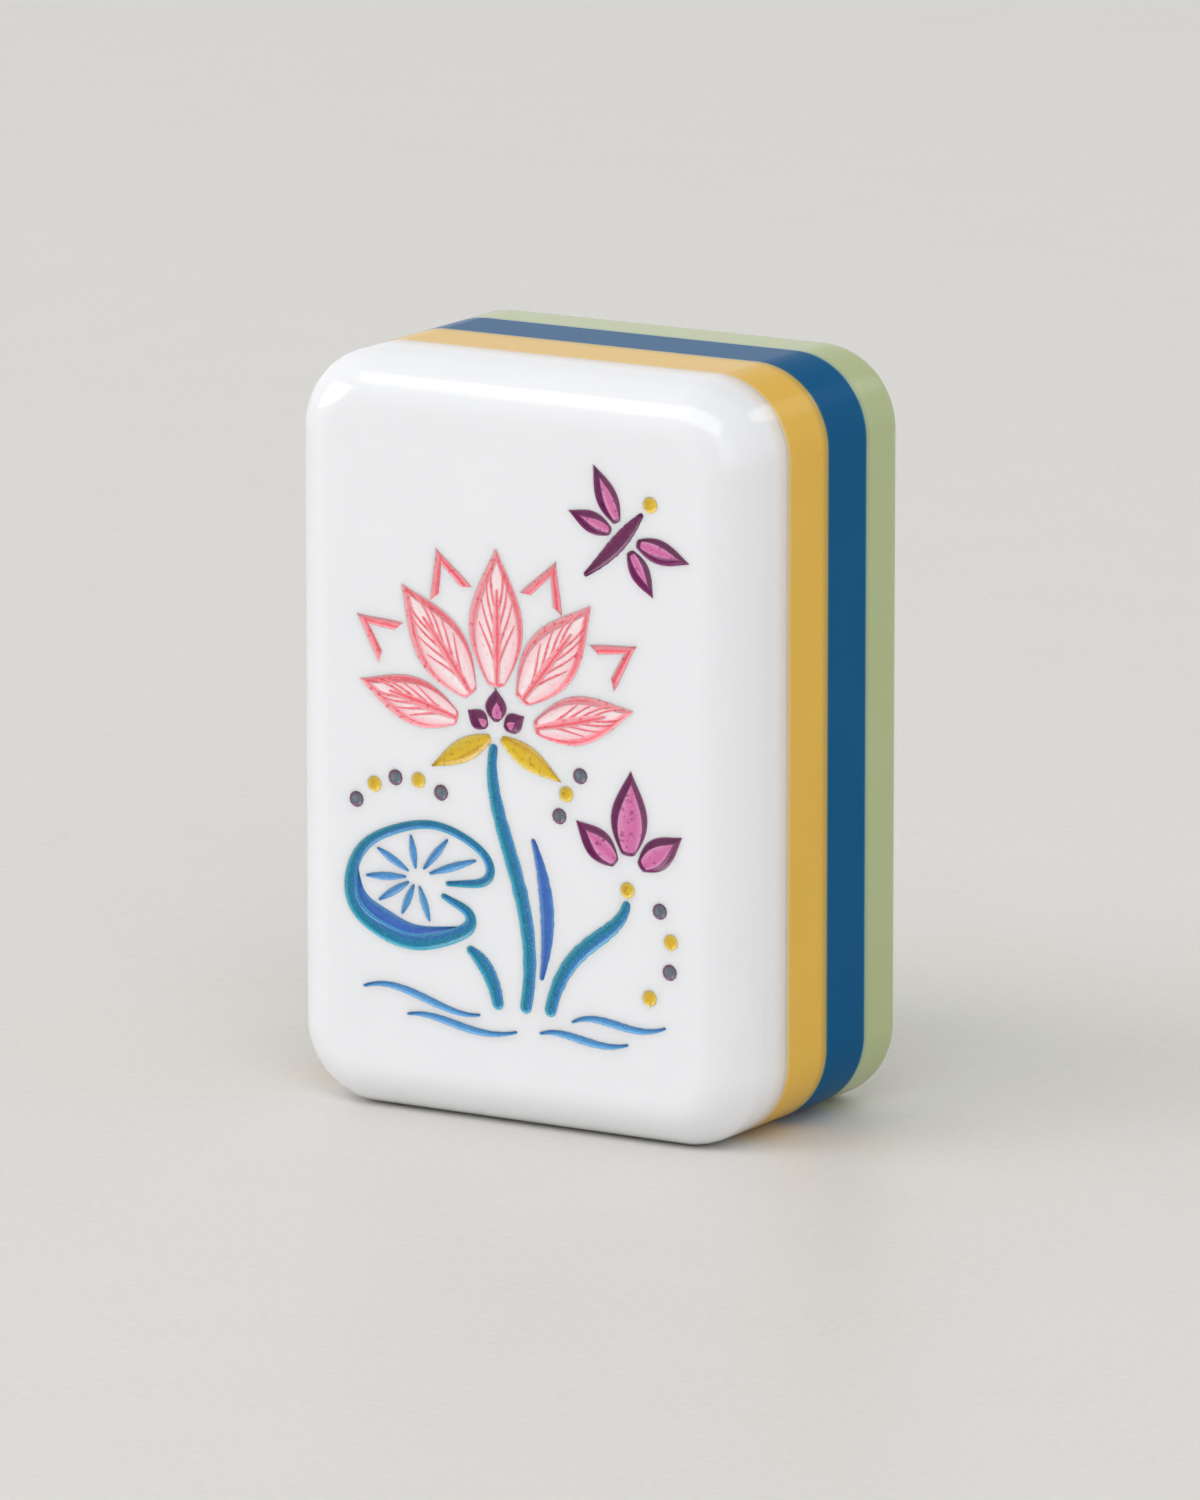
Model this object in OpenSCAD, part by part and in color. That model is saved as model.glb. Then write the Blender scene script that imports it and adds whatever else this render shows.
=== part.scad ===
// Mahjong tile: four bonded plastic layers, rounded as one block, with an engraved picture
// of a water lily whose grooves are filled with paint.
// Frame: +Z up, the picture faces -Y, the origin lies under the middle of the standing tile.

/* [Block] */
// Height of the tile, standing on its short edge
tile_h = 30; // [26:0.5:38]
// Width of the tile
tile_w = 20.5; // [18:0.5:28]
// Corner radius of the outline, seen from the front
corner_r = 3.2; // [2.6:0.1:4.5]
// Rounding of the edge around the face
face_round = 2; // [1:0.1:2.5]
// Rounding of the edge around the back
back_round = 1; // [0.4:0.1:2]

/* [Layers] */
// Thickness of the white face slab
face_t = 3.7; // [3:0.1:5]
// Thickness of the amber layer
amber_t = 2.95; // [1.5:0.05:4]
// Thickness of the blue layer
blue_t = 2.85; // [1.5:0.05:4]
// Thickness of the green back layer
back_t = 2.95; // [2.4:0.05:4]
// Thickness of the clear adhesive between two layers
bond_t = 0.05; // [0.02:0.01:0.1]

/* [Engraving] */
// Clear border between the picture and the rounded edge
picture_border = 0.4; // [0.2:0.1:1.5]
// Depth of the engraved lines
line_depth = 0.35; // [0.2:0.05:0.6]
// Depth of the engraved areas inside the lines
area_depth = 0.2; // [0.12:0.02:0.3]
// How far the dried paint stays below the face
paint_sink = 0.07; // [0.03:0.01:0.1]
// Width of the stems and the leaf outline
stem_line = 0.62; // [0.4:0.02:0.7]
// Width of the lily's petal outline
petal_line = 0.28; // [0.2:0.02:0.36]
// Width of the outline on the bud and the dragonfly
bud_line = 0.26; // [0.2:0.02:0.32]
// Width of the leaf ribs and the water lines
fine_line = 0.3; // [0.2:0.02:0.4]
// Diameter of the painted beads
bead_d = 0.62; // [0.4:0.02:0.8]

/* [Hidden] */
$fn = 48;

// Colours
white = [0.95, 0.95, 0.95];
amber = [0.87, 0.68, 0.30];
navy = [0.07, 0.35, 0.53];
sage = [0.69, 0.77, 0.56];
clear = [0.90, 0.88, 0.80];
teal = [0.12, 0.50, 0.58];
cobalt = [0.18, 0.40, 0.69];
sky = [0.42, 0.66, 0.85];
coral = [0.93, 0.42, 0.47];
blush = [0.98, 0.84, 0.85];
rose = [0.78, 0.38, 0.62];
plum = [0.42, 0.12, 0.32];
gold = [0.85, 0.71, 0.16];
slate = [0.36, 0.44, 0.47];

// Stack of the layers, measured from the middle of the thickness towards the face
tile_t = face_t + amber_t + blue_t + back_t + 3 * bond_t;
back_z = -tile_t / 2;
back_bond_z = back_z + back_t;
blue_z = back_bond_z + bond_t;
core_bond_z = blue_z + blue_t;
amber_z = core_bond_z + bond_t;
face_bond_z = amber_z + amber_t;
face_z = face_bond_z + bond_t;
front_z = face_z + face_t;

// How far a cut reaches past the surface that it opens
overrun = 0.1;

// Picture: its height follows the flat of the face, and every place in it is a share of that height
picture_width_share = 0.7;
flat_w = tile_w - 2 * (face_round + picture_border);
flat_h = tile_h - 2 * (face_round + picture_border);
picture_h = min(flat_h, flat_w / picture_width_share);
picture_z = (tile_h - picture_h) / 2;
steps = 8;

// Form of a petal: where its widest place sits, and how pointed its ends are
petal_lean = 0.92;
petal_point = 1.15;

// Lily: the point its petals spread from, how far out they start, and their lengths and widths
lily_shares = [-0.03, 0.53];
lily_ring_share = 0.062;
petal_angles = [14, 52, 90, 128, 166];
petal_reach_shares = [0.225, 0.25, 0.265, 0.25, 0.225];
petal_width_shares = [0.084, 0.104, 0.108, 0.104, 0.084];
petal_start_share = 0.1;
petal_rib_share = 0.7;
petal_rib_width_share = 0.018;

// Back row of the lily: only the tips that stand out between the front petals
tip_angles = [33, 69, 111, 147];
tip_reach_share = 0.275;
tip_width_share = 0.12;
tip_start_share = 0.74;

// Heart of the lily, and the two sepals under it
heart_ring_share = 0.018;
heart_angles = [33, 90, 147];
heart_reach_shares = [0.05, 0.062, 0.05];
heart_width_shares = [0.036, 0.042, 0.036];
heart_start_share = 0.1;
sepal_angles = [208, 332];
sepal_reach_share = 0.15;
sepal_width_share = 0.04;
sepal_start_share = 0.1;

// Bud on the right
bud_shares = [0.235, 0.31];
bud_ring_share = 0.02;
bud_angles = [36, 88, 140];
bud_reach_shares = [0.115, 0.165, 0.115];
bud_width_shares = [0.054, 0.072, 0.054];
bud_start_share = 0.12;

// Dragonfly above the lily
fly_shares = [0.226, 0.9];
fly_ring_share = 0.016;
wing_angles = [-59, -14, 116, 161];
wing_reach_shares = [0.1, 0.12, 0.12, 0.1];
wing_width_shares = [0.038, 0.042, 0.042, 0.038];
wing_start_share = 0.12;
body_shares = [[0.262, 0.942], [0.235, 0.912], [0.205, 0.872], [0.152, 0.83]];
head_shares = [0.28, 0.962];

// Leaf on the left: an oval pad with a notch towards the stems
leaf_shares = [-0.182, 0.25];
leaf_half_shares = [0.152, 0.104];
leaf_tilt = 10;
leaf_wave_share = 0.02;
leaf_waves = 6;
leaf_steps = 36;
leaf_notch_angle = -24;
leaf_notch_half_angle = 18;
leaf_notch_share = 0.36;
leaf_thin_share = 0.5;
leaf_thick_angle = 240;
leaf_end_share = 0.45;
leaf_hub_shares = [-0.01, 0.01];
leaf_rib_steps = [4, 8, 12, 16, 20, 24, 28, 32];
rib_start_share = 0.2;
rib_stop_share = 0.86;
shade_steps = [19, 35];
shade_share = 0.24;

// Stems, each a curve with four guide points, and the water lines under them
stem_end_shares = [0.55, 0.8];
lily_stem_shares = [[-0.035, 0.505], [-0.06, 0.38], [0.07, 0.25], [0.03, 0.055]];
bud_stem_shares = [[0.233, 0.258], [0.215, 0.19], [0.11, 0.19], [0.08, 0.055]];
leaf_stem_shares = [[-0.082, 0.143], [-0.06, 0.13], [-0.036, 0.105], [-0.027, 0.055]];
brush_end_shares = [0.3, 0.3];
stem_shade_shares = [[0.045, 0.35], [0.075, 0.27], [0.082, 0.20], [0.062, 0.11]];
water_shares = [
    [[-0.30, 0.055], [-0.22, 0.085], [-0.14, 0.015], [-0.065, 0.03]],
    [[-0.21, 0.015], [-0.14, 0.03], [-0.08, -0.02], [0.01, 0.008]],
    [[0.125, 0.04], [0.18, 0.07], [0.24, 0.02], [0.31, 0.05]],
    [[0.06, 0.012], [0.11, 0.03], [0.17, -0.01], [0.235, 0.012]]
];

// Painted beads around the leaf and the stems, in slate and in gold
bead_shares = [
    [-0.315, 0.385], [-0.235, 0.432], [-0.142, 0.415], [0.098, 0.4], [0.14, 0.475],
    [0.30, 0.255], [0.32, 0.15]
];
gold_bead_shares = [
    [-0.278, 0.416], [-0.188, 0.432], [0.112, 0.44], [0.322, 0.203], [0.28, 0.1], [0.235, 0.285]
];

// A place in the picture, from its shares
function spot(shares) = picture_h * shares;

// Points along a curve with four guide points
function bend(p, t) = pow(1 - t, 3) * p[0] + 3 * t * pow(1 - t, 2) * p[1]
    + 3 * t * t * (1 - t) * p[2] + t * t * t * p[3];
function curve(shares) = [for (i = [0:steps]) spot(bend(shares, i / steps))];

// Direction of travel at a point of a run of points, turned a quarter to the left
function across(pts, i) =
    let (d = pts[min(i + 1, len(pts) - 1)] - pts[max(i - 1, 0)])
    [-d[1], d[0]] / norm(d);

// Outline of a ribbon along a run of points, with a width for each point
function ribbon_side(pts, widths, side) =
    [for (i = [0:len(pts) - 1]) pts[i] + side * across(pts, i) * widths[i] / 2];
function ribbon(pts, widths) = band(ribbon_side(pts, widths, 1), ribbon_side(pts, widths, -1));

// Outline of a brush stroke that swells in the middle; its ends keep shares of the full width
function swell(t, ends) = ends[t < 0.5 ? 0 : 1] + (1 - ends[t < 0.5 ? 0 : 1]) * sin(180 * t);
function stroke(pts, width, ends) =
    let (n = len(pts) - 1)
    ribbon(pts, [for (i = [0:n]) width * swell(i / n, ends)]);

// The band between two runs that start and end side by side
function band(outer, inner) = concat(outer, [for (i = [len(inner) - 1:-1:0]) inner[i]]);

// The petals of a flower, which start on a ring round its middle. Each is a list of its base, its
// angle, its reach, its width, and the share of its reach at which its base is open.
function flower(middle, ring, angles, reaches, widths, start) = [
    for (k = [0:len(angles) - 1])
        [middle + ring * [cos(angles[k]), sin(angles[k])], angles[k], reaches[k], widths[k], start]
];

// Up one side of a petal and down the other
function petal_half(width, t) = width / 2 * pow(sin(180 * pow(min(t, 1), petal_lean)), petal_point);
function petal_at(p, t, side) =
    p[0] + p[2] * t * [cos(p[1]), sin(p[1])] + side * petal_half(p[3], t) * [-sin(p[1]), cos(p[1])];
function petal_edge(p) = concat(
    [for (i = [0:steps]) petal_at(p, p[4] + (1 - p[4]) * i / steps, 1)],
    [for (i = [steps - 1:-1:0]) petal_at(p, p[4] + (1 - p[4]) * i / steps, -1)]
);

// The petal inside a line along its edge, and the rib in its middle, open at the same place as the petal
function inner_petal(p, line) =
    [p[0], p[1], p[2] - 2 * line, p[3] - 2 * line, p[4] * p[2] / (p[2] - 2 * line)];
function petal_rib(p) =
    [p[0], p[1], p[2] * petal_rib_share, spot(petal_rib_width_share), p[4] / petal_rib_share];

// The leaf's edge, run from one side of its notch round to the other
function turned(v, angle) = [v[0] * cos(angle) - v[1] * sin(angle), v[0] * sin(angle) + v[1] * cos(angle)];
function leaf_angle(i) =
    leaf_notch_angle + leaf_notch_half_angle + (360 - 2 * leaf_notch_half_angle) * i / leaf_steps;
function leaf_edge(a, out) =
    let (half = out * (1 + leaf_wave_share * sin(leaf_waves * a)) * spot(leaf_half_shares))
    leaf + turned([half[0] * cos(a), half[1] * sin(a)], leaf_tilt);
function leaf_line(a) =
    stem_line * (leaf_thin_share + (1 - leaf_thin_share) * (1 + cos(a - leaf_thick_angle)) / 2);

// The inner border of the shade along the leaf's lower edge, at a step of the leaf's run
function shade_border(i) =
    let (deep = sin(180 * (i - shade_steps[0]) / (shade_steps[1] - shade_steps[0])))
    i > shade_steps[0] && i < shade_steps[1]
    ? leaf_inside[i] + shade_share * deep * (leaf - leaf_inside[i])
    : leaf_inside[i];

// Flowers in the picture
lily = spot(lily_shares);
lily_petals = flower(lily, spot(lily_ring_share), petal_angles, spot(petal_reach_shares),
    spot(petal_width_shares), petal_start_share);
lily_tips = flower(lily, spot(lily_ring_share), tip_angles, [for (a = tip_angles) spot(tip_reach_share)],
    [for (a = tip_angles) spot(tip_width_share)], tip_start_share);
sepals = flower(lily, 0, sepal_angles, [for (a = sepal_angles) spot(sepal_reach_share)],
    [for (a = sepal_angles) spot(sepal_width_share)], sepal_start_share);
small_petals = concat(
    flower(lily, spot(heart_ring_share), heart_angles, spot(heart_reach_shares),
        spot(heart_width_shares), heart_start_share),
    flower(spot(bud_shares), spot(bud_ring_share), bud_angles, spot(bud_reach_shares),
        spot(bud_width_shares), bud_start_share),
    flower(spot(fly_shares), spot(fly_ring_share), wing_angles, spot(wing_reach_shares),
        spot(wing_width_shares), wing_start_share)
);

// Leaf in the picture
leaf = spot(leaf_shares);
leaf_hub = leaf + spot(leaf_hub_shares);
leaf_run = concat(
    [leaf_edge(leaf_angle(0), leaf_notch_share)],
    [for (i = [0:leaf_steps]) leaf_edge(leaf_angle(i), 1)],
    [leaf_edge(leaf_angle(leaf_steps), leaf_notch_share)]
);
leaf_widths = concat(
    [leaf_end_share * leaf_line(leaf_angle(0))],
    [for (i = [0:leaf_steps]) leaf_line(leaf_angle(i))],
    [leaf_end_share * leaf_line(leaf_angle(leaf_steps))]
);
leaf_inside = ribbon_side(leaf_run, leaf_widths, 1);

// Turns a shape drawn on the face plane upright, with its front towards -Y
module stand() {
    rotate([90, 0, 0]) children();
}

// A quarter of a disc
module quarter(r) {
    intersection() {
        circle(r);
        square(r);
    }
}

// The tile's outline seen from the front
module outline() {
    translate([-tile_w / 2, corner_r]) square([tile_w, tile_h - 2 * corner_r]);
    translate([-tile_w / 2 + corner_r, 0]) square([tile_w - 2 * corner_r, tile_h]);
    for (side = [0, 1], end = [0, 1]) {
        translate([(side - 0.5) * (tile_w - 2 * corner_r), corner_r + end * (tile_h - 2 * corner_r)])
            mirror([1 - side, 0]) mirror([0, 1 - end]) quarter(corner_r);
    }
}

// A flat layer of the block
module layer(z, t) {
    translate([0, 0, z]) linear_extrude(t) outline();
}

// Half of a layer's section, from its middle line to its rounded edge
module half_section(half_w, t, r) {
    square([half_w, t - r]);
    square([half_w - r, t]);
    translate([half_w - r, t - r]) quarter(r);
}

// A layer whose upper edge is rounded all round
module eased_layer(t, r) {
    mid_w = tile_w - 2 * corner_r;
    mid_h = tile_h - 2 * corner_r;
    for (side = [0, 1]) {
        translate([0, corner_r + mid_h, 0]) mirror([side, 0, 0]) rotate([90, 0, 0])
            linear_extrude(mid_h) half_section(tile_w / 2, t, r);
        translate([-mid_w / 2, tile_h / 2, 0]) mirror([0, side, 0]) rotate([90, 0, 90])
            linear_extrude(mid_w) half_section(tile_h / 2, t, r);
        for (end = [0, 1]) {
            translate([(side - 0.5) * mid_w, corner_r + end * mid_h, 0])
                mirror([1 - side, 0, 0]) mirror([0, 1 - end, 0])
                rotate_extrude(angle = 90) half_section(corner_r, t, r);
        }
    }
}

// A cut in the face, and the paint that dries in it
module groove(depth) {
    translate([0, picture_z, front_z - depth]) linear_extrude(depth + overrun) children();
}
module fill(depth) {
    translate([0, picture_z, front_z - depth]) linear_extrude(depth - paint_sink) children();
}

// Stems and the outline of the leaf
module stem_lines() {
    for (shares = [lily_stem_shares, bud_stem_shares, leaf_stem_shares]) {
        polygon(stroke(curve(shares), stem_line, stem_end_shares));
    }
    polygon(ribbon(leaf_run, leaf_widths));
}

// Blue shade along the lower edge of the leaf and beside the tall stem
module shade_areas() {
    polygon(concat(
        [for (i = [shade_steps[0]:shade_steps[1]]) leaf_inside[i]],
        [for (i = [shade_steps[1] - 1:-1:shade_steps[0] + 1]) shade_border(i)]
    ));
    polygon(stroke(curve(stem_shade_shares), stem_line, brush_end_shares));
}

// Ribs of the leaf, and the water lines
module rib_lines() {
    for (i = leaf_rib_steps) {
        way = shade_border(i) - leaf_hub;
        start = leaf_hub + way * rib_start_share;
        stop = leaf_hub + way * rib_stop_share;
        polygon(stroke([for (j = [0:steps]) start + (stop - start) * j / steps], fine_line, brush_end_shares));
    }
    for (shares = water_shares) {
        polygon(stroke(curve(shares), fine_line, brush_end_shares));
    }
}

// Outlines and ribs of the lily's petals
module petal_lines() {
    for (p = concat(lily_petals, lily_tips)) {
        polygon(band(petal_edge(p), petal_edge(inner_petal(p, petal_line))));
    }
    for (p = lily_petals) {
        polygon(petal_edge(petal_rib(p)));
    }
}

// Pale wash between a petal's outline and its rib
module petal_washes() {
    for (p = lily_petals) {
        polygon(band(petal_edge(inner_petal(p, petal_line)), petal_edge(petal_rib(p))));
    }
}

// Plum outlines of the heart, the bud and the wings, and the dragonfly's body
module bud_outlines() {
    for (p = small_petals) {
        polygon(band(petal_edge(p), petal_edge(inner_petal(p, bud_line))));
    }
    polygon(stroke(curve(body_shares), stem_line, brush_end_shares));
}

// Rose fill inside the plum outlines
module bud_fills() {
    for (p = small_petals) {
        polygon(petal_edge(inner_petal(p, bud_line)));
    }
}

// Gold sepals under the lily, gold beads, and the dragonfly's head
module gold_areas() {
    for (p = sepals) {
        polygon(petal_edge(p));
    }
    for (shares = concat([head_shares], gold_bead_shares)) {
        translate(spot(shares)) circle(d = bead_d);
    }
}

// Small round beads
module beads() {
    for (shares = bead_shares) {
        translate(spot(shares)) circle(d = bead_d);
    }
}

// The sub-parts
module face_slab() color(white) stand() {
    difference() {
        translate([0, 0, face_z]) eased_layer(face_t, face_round);
        groove(line_depth) stem_lines();
        groove(line_depth) petal_lines();
        groove(line_depth) bud_outlines();
        groove(line_depth) rib_lines();
        groove(line_depth) beads();
        groove(line_depth) gold_areas();
        groove(area_depth) shade_areas();
        groove(area_depth) petal_washes();
        groove(area_depth) bud_fills();
    }
}
module face_bond() color(clear) stand() layer(face_bond_z, bond_t);
module amber_layer() color(amber) stand() layer(amber_z, amber_t);
module core_bond() color(clear) stand() layer(core_bond_z, bond_t);
module blue_layer() color(navy) stand() layer(blue_z, blue_t);
module back_bond() color(clear) stand() layer(back_bond_z, bond_t);
module back_layer() color(sage) stand() {
    translate([0, 0, back_bond_z]) mirror([0, 0, 1]) eased_layer(back_t, back_round);
}
module stem_paint() color(teal) stand() fill(line_depth) stem_lines();
module leaf_shade_paint() color(cobalt) stand() fill(area_depth) shade_areas();
module rib_paint() color(sky) stand() fill(line_depth) rib_lines();
module petal_line_paint() color(coral) stand() fill(line_depth) petal_lines();
module petal_wash_paint() color(blush) stand() fill(area_depth) petal_washes();
module bud_fill_paint() color(rose) stand() fill(area_depth) bud_fills();
module bud_outline_paint() color(plum) stand() fill(line_depth) bud_outlines();
module sepal_paint() color(gold) stand() fill(line_depth) gold_areas();
module bead_paint() color(slate) stand() fill(line_depth) beads();

face_slab();
face_bond();
amber_layer();
core_bond();
blue_layer();
back_bond();
back_layer();
stem_paint();
leaf_shade_paint();
rib_paint();
petal_line_paint();
petal_wash_paint();
bud_fill_paint();
bud_outline_paint();
sepal_paint();
bead_paint();
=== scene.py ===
# Mahjong tile: four acrylic layers bonded and rounded as one block, with a water lily engraved in
# the white face and filled with enamel. Lengths are in metres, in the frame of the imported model.
import math
from collections import namedtuple

import bmesh
import bpy
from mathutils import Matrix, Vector


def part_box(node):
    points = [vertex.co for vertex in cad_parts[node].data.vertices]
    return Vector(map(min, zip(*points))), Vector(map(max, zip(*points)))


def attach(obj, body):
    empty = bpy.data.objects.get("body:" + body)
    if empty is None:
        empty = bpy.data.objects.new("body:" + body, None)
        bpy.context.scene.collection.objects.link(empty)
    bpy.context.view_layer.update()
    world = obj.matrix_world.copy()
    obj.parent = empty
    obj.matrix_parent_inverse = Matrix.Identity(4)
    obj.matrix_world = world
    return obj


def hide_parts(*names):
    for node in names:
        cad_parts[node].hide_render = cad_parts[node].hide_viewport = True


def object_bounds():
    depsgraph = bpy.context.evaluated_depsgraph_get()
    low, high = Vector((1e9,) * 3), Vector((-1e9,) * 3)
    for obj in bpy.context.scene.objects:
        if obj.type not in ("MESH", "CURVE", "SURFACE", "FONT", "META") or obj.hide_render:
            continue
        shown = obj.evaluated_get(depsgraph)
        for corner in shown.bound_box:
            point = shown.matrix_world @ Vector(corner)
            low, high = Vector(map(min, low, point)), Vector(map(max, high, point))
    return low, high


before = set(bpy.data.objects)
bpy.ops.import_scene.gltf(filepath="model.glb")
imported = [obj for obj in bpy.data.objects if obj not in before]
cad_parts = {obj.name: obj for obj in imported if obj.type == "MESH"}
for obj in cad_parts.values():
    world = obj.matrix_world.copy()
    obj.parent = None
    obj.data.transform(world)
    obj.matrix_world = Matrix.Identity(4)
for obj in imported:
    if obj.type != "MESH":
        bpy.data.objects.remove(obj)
cad_low, cad_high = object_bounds()

# Sage back layer
# The back of the tile is a sheet of sage green cast acrylic. It is sawn to the outline together
# with the layers bonded to it, then tumbled and polished until its back edge is round.
mm = 0.001
corner_radius = 3.2 * mm
corner_steps = 24
back_rounding = 1.0 * mm
back_rounding_steps = 10
sharp_angle = math.radians(40)

# A point this close to a plane counts as on it
touch = 0.001 * mm


def acrylic_block(name, node):
    """A cube the size of a layer, with the four corners of its outline rounded."""
    low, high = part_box(node)
    bpy.ops.object.select_all(action="DESELECT")
    bpy.ops.mesh.primitive_cube_add(size=1, location=(low + high) / 2)
    piece = bpy.context.object
    piece.name = name
    piece.scale = high - low
    bpy.ops.object.transform_apply(location=True, rotation=True, scale=True)
    thickness = high.y - low.y
    round_edges(piece, lambda a, b: abs(a.y - b.y) > thickness / 2, corner_radius, corner_steps)
    return piece


def round_edges(piece, chosen, radius, steps):
    """Bevels the edges of a piece whose two ends pass a test."""
    bpy.ops.object.mode_set(mode="EDIT")
    bpy.ops.mesh.select_mode(type="EDGE")
    bpy.ops.mesh.select_all(action="DESELECT")
    shape = bmesh.from_edit_mesh(piece.data)
    for edge in shape.edges:
        if chosen(edge.verts[0].co, edge.verts[1].co):
            edge.select_set(True)
    bmesh.update_edit_mesh(piece.data)
    bpy.ops.mesh.bevel(offset=radius, segments=steps, affect="EDGES")
    bpy.ops.object.mode_set(mode="OBJECT")


def polish(piece):
    """Smooths the rounded edges, and lets the flats keep their own normals."""
    bpy.ops.object.select_all(action="DESELECT")
    piece.select_set(True)
    bpy.context.view_layer.objects.active = piece
    bpy.ops.object.shade_smooth_by_angle(angle=sharp_angle)
    weighted = piece.modifiers.new("polish", "WEIGHTED_NORMAL")
    weighted.keep_sharp = True
    bpy.ops.object.modifier_apply(modifier=weighted.name)


def linear(code):
    """An sRGB hex colour as linear red, green, blue and alpha."""
    shares = [int(code[i:i + 2], 16) / 255 for i in (1, 3, 5)]
    return [s / 12.92 if s <= 0.04045 else ((s + 0.055) / 1.055) ** 2.4 for s in shares] + [1]


def add_node(tree, kind, inputs=None, **settings):
    """Adds a node with its settings. An input is a value, or the socket that it is linked to."""
    made = tree.nodes.new(kind)
    for name, value in settings.items():
        setattr(made, name, value)
    for name, value in (inputs or {}).items():
        if isinstance(value, bpy.types.NodeSocket):
            tree.links.new(value, made.inputs[name])
        else:
            made.inputs[name].default_value = value
    return made


# Cast acrylic, sawn and polished: a clear gloss over a body that light enters a little way. Faint
# clouds lie in the body, the polish leaves low waves, and handling leaves the gloss a little uneven.
acrylic_ior = 1.49
cloud_size = 5.0 * mm
wave_size = 3.0 * mm
wave_height = 0.0012 * mm
haze_size = 0.35 * mm

# Where a mix node has its share and two colours among its inputs, and the mix among its outputs
mix_share, mix_a, mix_b, mix_out = 0, 6, 7, 2


def cast_acrylic(name, body, cloud, shine, roughness, scatter_share, scatter_reach, painted_joint_light):
    """A sheet's material, with painted light and shade by its joints, each as (y, reach, colour, share)."""
    made = bpy.data.materials.new(name)
    made.use_nodes = True
    tree = made.node_tree
    shader = tree.nodes["Principled BSDF"]
    place = add_node(tree, "ShaderNodeTexCoord").outputs["Object"]
    clouds = add_node(tree, "ShaderNodeTexNoise", {"Vector": place, "Scale": 1 / cloud_size, "Detail": 3})
    colour = add_node(tree, "ShaderNodeMix", {
        mix_share: clouds.outputs["Fac"], mix_a: linear(body), mix_b: linear(cloud)}, data_type="RGBA")
    depth = add_node(tree, "ShaderNodeSeparateXYZ", {"Vector": place}).outputs["Y"]
    # Painted light and shade: towards each joint the colour turns to a lighter or darker tint
    for y, reach, joint_light_colour, share in painted_joint_light:
        joint_light_mask = add_node(tree, "ShaderNodeMapRange", {
            "Value": depth, "From Min": y, "From Max": y + reach, "To Min": share, "To Max": 0},
            interpolation_type="SMOOTHERSTEP")
        colour = add_node(tree, "ShaderNodeMix", {
            mix_share: joint_light_mask.outputs["Result"], mix_a: colour.outputs[mix_out], mix_b: linear(joint_light_colour)},
            data_type="RGBA")
    haze = add_node(tree, "ShaderNodeTexNoise", {"Vector": place, "Scale": 1 / haze_size, "Detail": 4})
    gloss = add_node(tree, "ShaderNodeMapRange", {
        "Value": haze.outputs["Fac"], "To Min": roughness[0], "To Max": roughness[1]})
    waves = add_node(tree, "ShaderNodeTexNoise", {"Vector": place, "Scale": 1 / wave_size, "Detail": 1})
    relief = add_node(tree, "ShaderNodeBump", {"Height": waves.outputs["Fac"], "Distance": wave_height})
    tree.links.new(colour.outputs[mix_out], shader.inputs["Base Color"])
    tree.links.new(gloss.outputs["Result"], shader.inputs["Roughness"])
    tree.links.new(relief.outputs["Normal"], shader.inputs["Normal"])
    shader.inputs["IOR"].default_value = acrylic_ior
    shader.inputs["Specular IOR Level"].default_value = shine
    shader.inputs["Subsurface Weight"].default_value = scatter_share
    shader.inputs["Subsurface Radius"].default_value = [reach / mm for reach in scatter_reach]
    shader.inputs["Subsurface Scale"].default_value = mm
    return made


# A finish is a range of roughness
satin = (0.12, 0.18)
back_low, back_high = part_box("back_layer")
sage_back = acrylic_block("sage_back", "back_layer")
round_edges(sage_back, lambda a, b: min(a.y, b.y) > back_high.y - touch, back_rounding, back_rounding_steps)
polish(sage_back)
# Painted shade: the sage turns darker and bluer towards its joint with the blue
sage_back.data.materials.append(cast_acrylic(
    "sage_cast_acrylic", body="#b3bd91", cloud="#adb888", shine=0.1, roughness=satin,
    scatter_share=0.3, scatter_reach=(0.5 * mm, 0.6 * mm, 0.3 * mm),
    painted_joint_light=[(back_low.y, 0.35 * mm, "#7f9f95", 0.5)]))
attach(sage_back, "root")
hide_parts("back_layer")

# Blue layer
# A plain sheet of deep blue cast acrylic between the back and the amber layer, nearly opaque, and
# polished flush with its neighbours.
blue_low, blue_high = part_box("blue_layer")
blue_sheet = acrylic_block("blue_sheet", "blue_layer")
polish(blue_sheet)
# Painted light: the blue turns lighter and greyer towards both of its joints
blue_sheet.data.materials.append(cast_acrylic(
    "blue_cast_acrylic", body="#1a5b88", cloud="#185480", shine=0.01, roughness=satin,
    scatter_share=0.15, scatter_reach=(0.1 * mm, 0.2 * mm, 0.4 * mm),
    painted_joint_light=[(blue_high.y, -0.15 * mm, "#3f7485", 0.35), (blue_low.y, 0.15 * mm, "#3f6f86", 0.3)]))
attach(blue_sheet, "root")
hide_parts("blue_layer")

# Amber layer
# A sheet of amber cast acrylic behind the white face, the most translucent of the four. Painted shade
# darkens it by the blue, painted light lightens it by the white, and the white has a painted warm shade.
amber_low, amber_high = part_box("amber_layer")
amber_sheet = acrylic_block("amber_sheet", "amber_layer")
polish(amber_sheet)
amber_sheet.data.materials.append(cast_acrylic(
    "amber_cast_acrylic", body="#e4b853", cloud="#dfb14b", shine=0.08, roughness=satin,
    scatter_share=0.3, scatter_reach=(1.0 * mm, 0.6 * mm, 0.2 * mm),
    painted_joint_light=[(amber_high.y, -0.6 * mm, "#a58f55", 0.6), (amber_low.y, 0.3 * mm, "#efd09a", 0.5)]))
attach(amber_sheet, "root")
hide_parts("amber_layer")

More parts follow.
